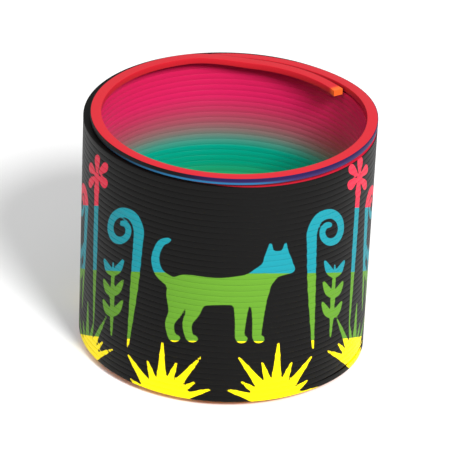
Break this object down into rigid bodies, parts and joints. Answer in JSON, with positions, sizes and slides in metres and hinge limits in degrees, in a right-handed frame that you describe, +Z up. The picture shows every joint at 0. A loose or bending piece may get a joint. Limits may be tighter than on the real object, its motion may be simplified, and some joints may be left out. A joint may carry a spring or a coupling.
{
  "type": "spring coil toy",
  "caption": "Free-standing coil of flat plastic strip in rainbow colours with a dark printed outside; it stretches, arches over and springs back shut.",
  "frame": {"origin": "middle of the coil's resting face, on its axis", "axes": "+Z up along the coil's axis, -Y towards the viewer's front, both cut lines of the coil in the XZ plane"},
  "size_m": [0.075, 0.075, 0.0653],
  "materials": {
    "dye_orange": "dyed glossy plastic of the bottom turns; outer edge printed matt black with a stencilled pattern",
    "dye_yellow": "dyed glossy plastic of the low turns; outer edge printed matt black with a stencilled pattern",
    "dye_green": "dyed glossy plastic of the lower middle turns; outer edge printed matt black with a stencilled pattern",
    "dye_teal": "dyed glossy plastic of the middle turns; outer edge printed matt black with a stencilled pattern",
    "dye_pink": "dyed glossy plastic of the upper turns; outer edge printed matt black with a stencilled pattern",
    "dye_red": "dyed glossy plastic of the top turns; outer edge printed matt black with a stencilled pattern"
  },
  "bodies": {
    "bottom_end_turns": {"bottom_end_turns": "dye_orange"},
    "lower_stack_outer": {"lower_stack_outer": "dye_orange"},
    "lower_stack_inner": {"lower_stack_inner": "dye_yellow"},
    "turn_09_front": {"turn_09_front": "dye_yellow"},
    "turn_09_back": {"turn_09_back": "dye_yellow"},
    "turn_10_front": {"turn_10_front": "dye_yellow"},
    "turn_10_back": {"turn_10_back": "dye_yellow"},
    "turn_11_front": {"turn_11_front": "dye_yellow"},
    "turn_11_back": {"turn_11_back": "dye_yellow"},
    "turn_12_front": {"turn_12_front": "dye_yellow"},
    "turn_12_back": {"turn_12_back": "dye_yellow"},
    "turn_13_front": {"turn_13_front": "dye_yellow"},
    "turn_13_back": {"turn_13_back": "dye_green"},
    "turn_14_front": {"turn_14_front": "dye_green"},
    "turn_14_back": {"turn_14_back": "dye_green"},
    "turn_15_front": {"turn_15_front": "dye_green"},
    "turn_15_back": {"turn_15_back": "dye_green"},
    "turn_16_front": {"turn_16_front": "dye_green"},
    "turn_16_back": {"turn_16_back": "dye_green"},
    "turn_17_front": {"turn_17_front": "dye_green"},
    "turn_17_back": {"turn_17_back": "dye_green"},
    "turn_18_front": {"turn_18_front": "dye_green"},
    "turn_18_back": {"turn_18_back": "dye_green"},
    "turn_19_front": {"turn_19_front": "dye_green"},
    "turn_19_back": {"turn_19_back": "dye_green"},
    "turn_20_front": {"turn_20_front": "dye_teal"},
    "turn_20_back": {"turn_20_back": "dye_teal"},
    "turn_21_front": {"turn_21_front": "dye_teal"},
    "turn_21_back": {"turn_21_back": "dye_teal"},
    "turn_22_front": {"turn_22_front": "dye_teal"},
    "turn_22_back": {"turn_22_back": "dye_teal"},
    "turn_23_front": {"turn_23_front": "dye_teal"},
    "turn_23_back": {"turn_23_back": "dye_teal"},
    "turn_24_front": {"turn_24_front": "dye_teal"},
    "turn_24_back": {"turn_24_back": "dye_teal"},
    "turn_25_front": {"turn_25_front": "dye_teal"},
    "turn_25_back": {"turn_25_back": "dye_teal"},
    "turn_26_front": {"turn_26_front": "dye_teal"},
    "turn_26_back": {"turn_26_back": "dye_pink"},
    "turn_27_front": {"turn_27_front": "dye_pink"},
    "turn_27_back": {"turn_27_back": "dye_pink"},
    "turn_28_front": {"turn_28_front": "dye_pink"},
    "turn_28_back": {"turn_28_back": "dye_pink"},
    "turn_29_front": {"turn_29_front": "dye_pink"},
    "turn_29_back": {"turn_29_back": "dye_pink"},
    "turn_30_front": {"turn_30_front": "dye_pink"},
    "turn_30_back": {"turn_30_back": "dye_pink"},
    "upper_stack_inner": {"upper_stack_inner": "dye_pink"},
    "upper_stack_outer": {"upper_stack_outer": "dye_red"},
    "top_end_turns": {"top_end_turns": "dye_red"}
  },
  "joints": [
    {"name": "right_bend_01", "type": "hinge", "parent": "bottom_end_turns", "child": "lower_stack_outer", "pos_m": [0.0375, 0, 0.00835], "axis": [0, 1, 0], "range_deg": [0, 2.63], "stiffness_Nm_per_rad": 0.026},
    {"name": "left_bend_02", "type": "hinge", "parent": "lower_stack_outer", "child": "lower_stack_inner", "pos_m": [-0.0375, 0, 0.0124], "axis": [0, -1, 0], "range_deg": [0, 2.63], "stiffness_Nm_per_rad": 0.026},
    {"name": "right_bend_03", "type": "hinge", "parent": "lower_stack_inner", "child": "turn_09_front", "pos_m": [0.0375, 0, 0.01483], "axis": [0, 1, 0], "range_deg": [0, 3.95], "stiffness_Nm_per_rad": 0.026},
    {"name": "left_side_opening", "type": "hinge", "parent": "turn_09_front", "child": "turn_09_back", "pos_m": [-0.0375, 0, 0.01564], "axis": [0, -1, 0], "range_deg": [0, 7.9], "stiffness_Nm_per_rad": 0.026},
    {"name": "right_side_opening", "type": "hinge", "parent": "turn_09_back", "child": "turn_10_front", "pos_m": [0.0375, 0, 0.01645], "axis": [0, 1, 0], "range_deg": [0, 7.9], "stiffness_Nm_per_rad": 0.026},
    {"name": "left_bend_06", "type": "hinge", "parent": "turn_10_front", "child": "turn_10_back", "pos_m": [-0.0375, 0, 0.01726], "axis": [0, -1, 0], "range_deg": [0, 7.9], "stiffness_Nm_per_rad": 0.026},
    {"name": "right_bend_07", "type": "hinge", "parent": "turn_10_back", "child": "turn_11_front", "pos_m": [0.0375, 0, 0.01807], "axis": [0, 1, 0], "range_deg": [0, 7.9], "stiffness_Nm_per_rad": 0.026},
    {"name": "left_bend_08", "type": "hinge", "parent": "turn_11_front", "child": "turn_11_back", "pos_m": [-0.0375, 0, 0.01888], "axis": [0, -1, 0], "range_deg": [0, 7.9], "stiffness_Nm_per_rad": 0.026},
    {"name": "right_bend_09", "type": "hinge", "parent": "turn_11_back", "child": "turn_12_front", "pos_m": [0.0375, 0, 0.01969], "axis": [0, 1, 0], "range_deg": [0, 7.9], "stiffness_Nm_per_rad": 0.026},
    {"name": "left_bend_10", "type": "hinge", "parent": "turn_12_front", "child": "turn_12_back", "pos_m": [-0.0375, 0, 0.0205], "axis": [0, -1, 0], "range_deg": [0, 7.9], "stiffness_Nm_per_rad": 0.026},
    {"name": "right_bend_11", "type": "hinge", "parent": "turn_12_back", "child": "turn_13_front", "pos_m": [0.0375, 0, 0.02131], "axis": [0, 1, 0], "range_deg": [0, 7.9], "stiffness_Nm_per_rad": 0.026},
    {"name": "left_bend_12", "type": "hinge", "parent": "turn_13_front", "child": "turn_13_back", "pos_m": [-0.0375, 0, 0.02212], "axis": [0, -1, 0], "range_deg": [0, 7.9], "stiffness_Nm_per_rad": 0.026},
    {"name": "right_bend_13", "type": "hinge", "parent": "turn_13_back", "child": "turn_14_front", "pos_m": [0.0375, 0, 0.02293], "axis": [0, 1, 0], "range_deg": [0, 7.9], "stiffness_Nm_per_rad": 0.026},
    {"name": "left_bend_14", "type": "hinge", "parent": "turn_14_front", "child": "turn_14_back", "pos_m": [-0.0375, 0, 0.02374], "axis": [0, -1, 0], "range_deg": [0, 7.9], "stiffness_Nm_per_rad": 0.026},
    {"name": "right_bend_15", "type": "hinge", "parent": "turn_14_back", "child": "turn_15_front", "pos_m": [0.0375, 0, 0.02455], "axis": [0, 1, 0], "range_deg": [0, 7.9], "stiffness_Nm_per_rad": 0.026},
    {"name": "left_bend_16", "type": "hinge", "parent": "turn_15_front", "child": "turn_15_back", "pos_m": [-0.0375, 0, 0.02536], "axis": [0, -1, 0], "range_deg": [0, 7.9], "stiffness_Nm_per_rad": 0.026},
    {"name": "right_bend_17", "type": "hinge", "parent": "turn_15_back", "child": "turn_16_front", "pos_m": [0.0375, 0, 0.02617], "axis": [0, 1, 0], "range_deg": [0, 7.9], "stiffness_Nm_per_rad": 0.026},
    {"name": "left_bend_18", "type": "hinge", "parent": "turn_16_front", "child": "turn_16_back", "pos_m": [-0.0375, 0, 0.02698], "axis": [0, -1, 0], "range_deg": [0, 7.9], "stiffness_Nm_per_rad": 0.026},
    {"name": "right_bend_19", "type": "hinge", "parent": "turn_16_back", "child": "turn_17_front", "pos_m": [0.0375, 0, 0.02779], "axis": [0, 1, 0], "range_deg": [0, 7.9], "stiffness_Nm_per_rad": 0.026},
    {"name": "left_bend_20", "type": "hinge", "parent": "turn_17_front", "child": "turn_17_back", "pos_m": [-0.0375, 0, 0.0286], "axis": [0, -1, 0], "range_deg": [0, 7.9], "stiffness_Nm_per_rad": 0.026},
    {"name": "right_bend_21", "type": "hinge", "parent": "turn_17_back", "child": "turn_18_front", "pos_m": [0.0375, 0, 0.02941], "axis": [0, 1, 0], "range_deg": [0, 7.9], "stiffness_Nm_per_rad": 0.026},
    {"name": "left_bend_22", "type": "hinge", "parent": "turn_18_front", "child": "turn_18_back", "pos_m": [-0.0375, 0, 0.03022], "axis": [0, -1, 0], "range_deg": [0, 7.9], "stiffness_Nm_per_rad": 0.026},
    {"name": "right_bend_23", "type": "hinge", "parent": "turn_18_back", "child": "turn_19_front", "pos_m": [0.0375, 0, 0.03103], "axis": [0, 1, 0], "range_deg": [0, 7.9], "stiffness_Nm_per_rad": 0.026},
    {"name": "left_bend_24", "type": "hinge", "parent": "turn_19_front", "child": "turn_19_back", "pos_m": [-0.0375, 0, 0.03184], "axis": [0, -1, 0], "range_deg": [0, 7.9], "stiffness_Nm_per_rad": 0.026},
    {"name": "right_bend_25", "type": "hinge", "parent": "turn_19_back", "child": "turn_20_front", "pos_m": [0.0375, 0, 0.03265], "axis": [0, 1, 0], "range_deg": [0, 7.9], "stiffness_Nm_per_rad": 0.026},
    {"name": "left_bend_26", "type": "hinge", "parent": "turn_20_front", "child": "turn_20_back", "pos_m": [-0.0375, 0, 0.03346], "axis": [0, -1, 0], "range_deg": [0, 7.9], "stiffness_Nm_per_rad": 0.026},
    {"name": "right_bend_27", "type": "hinge", "parent": "turn_20_back", "child": "turn_21_front", "pos_m": [0.0375, 0, 0.03427], "axis": [0, 1, 0], "range_deg": [0, 7.9], "stiffness_Nm_per_rad": 0.026},
    {"name": "left_bend_28", "type": "hinge", "parent": "turn_21_front", "child": "turn_21_back", "pos_m": [-0.0375, 0, 0.03508], "axis": [0, -1, 0], "range_deg": [0, 7.9], "stiffness_Nm_per_rad": 0.026},
    {"name": "right_bend_29", "type": "hinge", "parent": "turn_21_back", "child": "turn_22_front", "pos_m": [0.0375, 0, 0.03589], "axis": [0, 1, 0], "range_deg": [0, 7.9], "stiffness_Nm_per_rad": 0.026},
    {"name": "left_bend_30", "type": "hinge", "parent": "turn_22_front", "child": "turn_22_back", "pos_m": [-0.0375, 0, 0.0367], "axis": [0, -1, 0], "range_deg": [0, 7.9], "stiffness_Nm_per_rad": 0.026},
    {"name": "right_bend_31", "type": "hinge", "parent": "turn_22_back", "child": "turn_23_front", "pos_m": [0.0375, 0, 0.03751], "axis": [0, 1, 0], "range_deg": [0, 7.9], "stiffness_Nm_per_rad": 0.026},
    {"name": "left_bend_32", "type": "hinge", "parent": "turn_23_front", "child": "turn_23_back", "pos_m": [-0.0375, 0, 0.03832], "axis": [0, -1, 0], "range_deg": [0, 7.9], "stiffness_Nm_per_rad": 0.026},
    {"name": "right_bend_33", "type": "hinge", "parent": "turn_23_back", "child": "turn_24_front", "pos_m": [0.0375, 0, 0.03913], "axis": [0, 1, 0], "range_deg": [0, 7.9], "stiffness_Nm_per_rad": 0.026},
    {"name": "left_bend_34", "type": "hinge", "parent": "turn_24_front", "child": "turn_24_back", "pos_m": [-0.0375, 0, 0.03994], "axis": [0, -1, 0], "range_deg": [0, 7.9], "stiffness_Nm_per_rad": 0.026},
    {"name": "right_bend_35", "type": "hinge", "parent": "turn_24_back", "child": "turn_25_front", "pos_m": [0.0375, 0, 0.04075], "axis": [0, 1, 0], "range_deg": [0, 7.9], "stiffness_Nm_per_rad": 0.026},
    {"name": "left_bend_36", "type": "hinge", "parent": "turn_25_front", "child": "turn_25_back", "pos_m": [-0.0375, 0, 0.04156], "axis": [0, -1, 0], "range_deg": [0, 7.9], "stiffness_Nm_per_rad": 0.026},
    {"name": "right_bend_37", "type": "hinge", "parent": "turn_25_back", "child": "turn_26_front", "pos_m": [0.0375, 0, 0.04237], "axis": [0, 1, 0], "range_deg": [0, 7.9], "stiffness_Nm_per_rad": 0.026},
    {"name": "left_bend_38", "type": "hinge", "parent": "turn_26_front", "child": "turn_26_back", "pos_m": [-0.0375, 0, 0.04318], "axis": [0, -1, 0], "range_deg": [0, 7.9], "stiffness_Nm_per_rad": 0.026},
    {"name": "right_bend_39", "type": "hinge", "parent": "turn_26_back", "child": "turn_27_front", "pos_m": [0.0375, 0, 0.04399], "axis": [0, 1, 0], "range_deg": [0, 7.9], "stiffness_Nm_per_rad": 0.026},
    {"name": "left_bend_40", "type": "hinge", "parent": "turn_27_front", "child": "turn_27_back", "pos_m": [-0.0375, 0, 0.0448], "axis": [0, -1, 0], "range_deg": [0, 7.9], "stiffness_Nm_per_rad": 0.026},
    {"name": "right_bend_41", "type": "hinge", "parent": "turn_27_back", "child": "turn_28_front", "pos_m": [0.0375, 0, 0.04561], "axis": [0, 1, 0], "range_deg": [0, 7.9], "stiffness_Nm_per_rad": 0.026},
    {"name": "left_bend_42", "type": "hinge", "parent": "turn_28_front", "child": "turn_28_back", "pos_m": [-0.0375, 0, 0.04642], "axis": [0, -1, 0], "range_deg": [0, 7.9], "stiffness_Nm_per_rad": 0.026},
    {"name": "right_bend_43", "type": "hinge", "parent": "turn_28_back", "child": "turn_29_front", "pos_m": [0.0375, 0, 0.04723], "axis": [0, 1, 0], "range_deg": [0, 7.9], "stiffness_Nm_per_rad": 0.026},
    {"name": "left_bend_44", "type": "hinge", "parent": "turn_29_front", "child": "turn_29_back", "pos_m": [-0.0375, 0, 0.04804], "axis": [0, -1, 0], "range_deg": [0, 7.9], "stiffness_Nm_per_rad": 0.026},
    {"name": "right_bend_45", "type": "hinge", "parent": "turn_29_back", "child": "turn_30_front", "pos_m": [0.0375, 0, 0.04885], "axis": [0, 1, 0], "range_deg": [0, 7.9], "stiffness_Nm_per_rad": 0.026},
    {"name": "left_bend_46", "type": "hinge", "parent": "turn_30_front", "child": "turn_30_back", "pos_m": [-0.0375, 0, 0.04966], "axis": [0, -1, 0], "range_deg": [0, 7.9], "stiffness_Nm_per_rad": 0.026},
    {"name": "right_bend_47", "type": "hinge", "parent": "turn_30_back", "child": "upper_stack_inner", "pos_m": [0.0375, 0, 0.05047], "axis": [0, 1, 0], "range_deg": [0, 3.95], "stiffness_Nm_per_rad": 0.026},
    {"name": "left_bend_48", "type": "hinge", "parent": "upper_stack_inner", "child": "upper_stack_outer", "pos_m": [-0.0375, 0, 0.0529], "axis": [0, -1, 0], "range_deg": [0, 2.63], "stiffness_Nm_per_rad": 0.026},
    {"name": "right_bend_49", "type": "hinge", "parent": "upper_stack_outer", "child": "top_end_turns", "pos_m": [0.0375, 0, 0.05695], "axis": [0, 1, 0], "range_deg": [0, 2.63], "stiffness_Nm_per_rad": 0.026}
  ],
  "couplings": [
    {"joint": "right_bend_01", "follows": "right_side_opening", "ratio": 0.33333},
    {"joint": "left_bend_02", "follows": "left_side_opening", "ratio": 0.33333},
    {"joint": "right_bend_03", "follows": "right_side_opening", "ratio": 0.5},
    {"joint": "left_bend_06", "follows": "left_side_opening", "ratio": 1},
    {"joint": "right_bend_07", "follows": "right_side_opening", "ratio": 1},
    {"joint": "left_bend_08", "follows": "left_side_opening", "ratio": 1},
    {"joint": "right_bend_09", "follows": "right_side_opening", "ratio": 1},
    {"joint": "left_bend_10", "follows": "left_side_opening", "ratio": 1},
    {"joint": "right_bend_11", "follows": "right_side_opening", "ratio": 1},
    {"joint": "left_bend_12", "follows": "left_side_opening", "ratio": 1},
    {"joint": "right_bend_13", "follows": "right_side_opening", "ratio": 1},
    {"joint": "left_bend_14", "follows": "left_side_opening", "ratio": 1},
    {"joint": "right_bend_15", "follows": "right_side_opening", "ratio": 1},
    {"joint": "left_bend_16", "follows": "left_side_opening", "ratio": 1},
    {"joint": "right_bend_17", "follows": "right_side_opening", "ratio": 1},
    {"joint": "left_bend_18", "follows": "left_side_opening", "ratio": 1},
    {"joint": "right_bend_19", "follows": "right_side_opening", "ratio": 1},
    {"joint": "left_bend_20", "follows": "left_side_opening", "ratio": 1},
    {"joint": "right_bend_21", "follows": "right_side_opening", "ratio": 1},
    {"joint": "left_bend_22", "follows": "left_side_opening", "ratio": 1},
    {"joint": "right_bend_23", "follows": "right_side_opening", "ratio": 1},
    {"joint": "left_bend_24", "follows": "left_side_opening", "ratio": 1},
    {"joint": "right_bend_25", "follows": "right_side_opening", "ratio": 1},
    {"joint": "left_bend_26", "follows": "left_side_opening", "ratio": 1},
    {"joint": "right_bend_27", "follows": "right_side_opening", "ratio": 1},
    {"joint": "left_bend_28", "follows": "left_side_opening", "ratio": 1},
    {"joint": "right_bend_29", "follows": "right_side_opening", "ratio": 1},
    {"joint": "left_bend_30", "follows": "left_side_opening", "ratio": 1},
    {"joint": "right_bend_31", "follows": "right_side_opening", "ratio": 1},
    {"joint": "left_bend_32", "follows": "left_side_opening", "ratio": 1},
    {"joint": "right_bend_33", "follows": "right_side_opening", "ratio": 1},
    {"joint": "left_bend_34", "follows": "left_side_opening", "ratio": 1},
    {"joint": "right_bend_35", "follows": "right_side_opening", "ratio": 1},
    {"joint": "left_bend_36", "follows": "left_side_opening", "ratio": 1},
    {"joint": "right_bend_37", "follows": "right_side_opening", "ratio": 1},
    {"joint": "left_bend_38", "follows": "left_side_opening", "ratio": 1},
    {"joint": "right_bend_39", "follows": "right_side_opening", "ratio": 1},
    {"joint": "left_bend_40", "follows": "left_side_opening", "ratio": 1},
    {"joint": "right_bend_41", "follows": "right_side_opening", "ratio": 1},
    {"joint": "left_bend_42", "follows": "left_side_opening", "ratio": 1},
    {"joint": "right_bend_43", "follows": "right_side_opening", "ratio": 1},
    {"joint": "left_bend_44", "follows": "left_side_opening", "ratio": 1},
    {"joint": "right_bend_45", "follows": "right_side_opening", "ratio": 1},
    {"joint": "left_bend_46", "follows": "left_side_opening", "ratio": 1},
    {"joint": "right_bend_47", "follows": "right_side_opening", "ratio": 0.5},
    {"joint": "left_bend_48", "follows": "left_side_opening", "ratio": 0.33333},
    {"joint": "right_bend_49", "follows": "right_side_opening", "ratio": 0.33333}
  ]
}
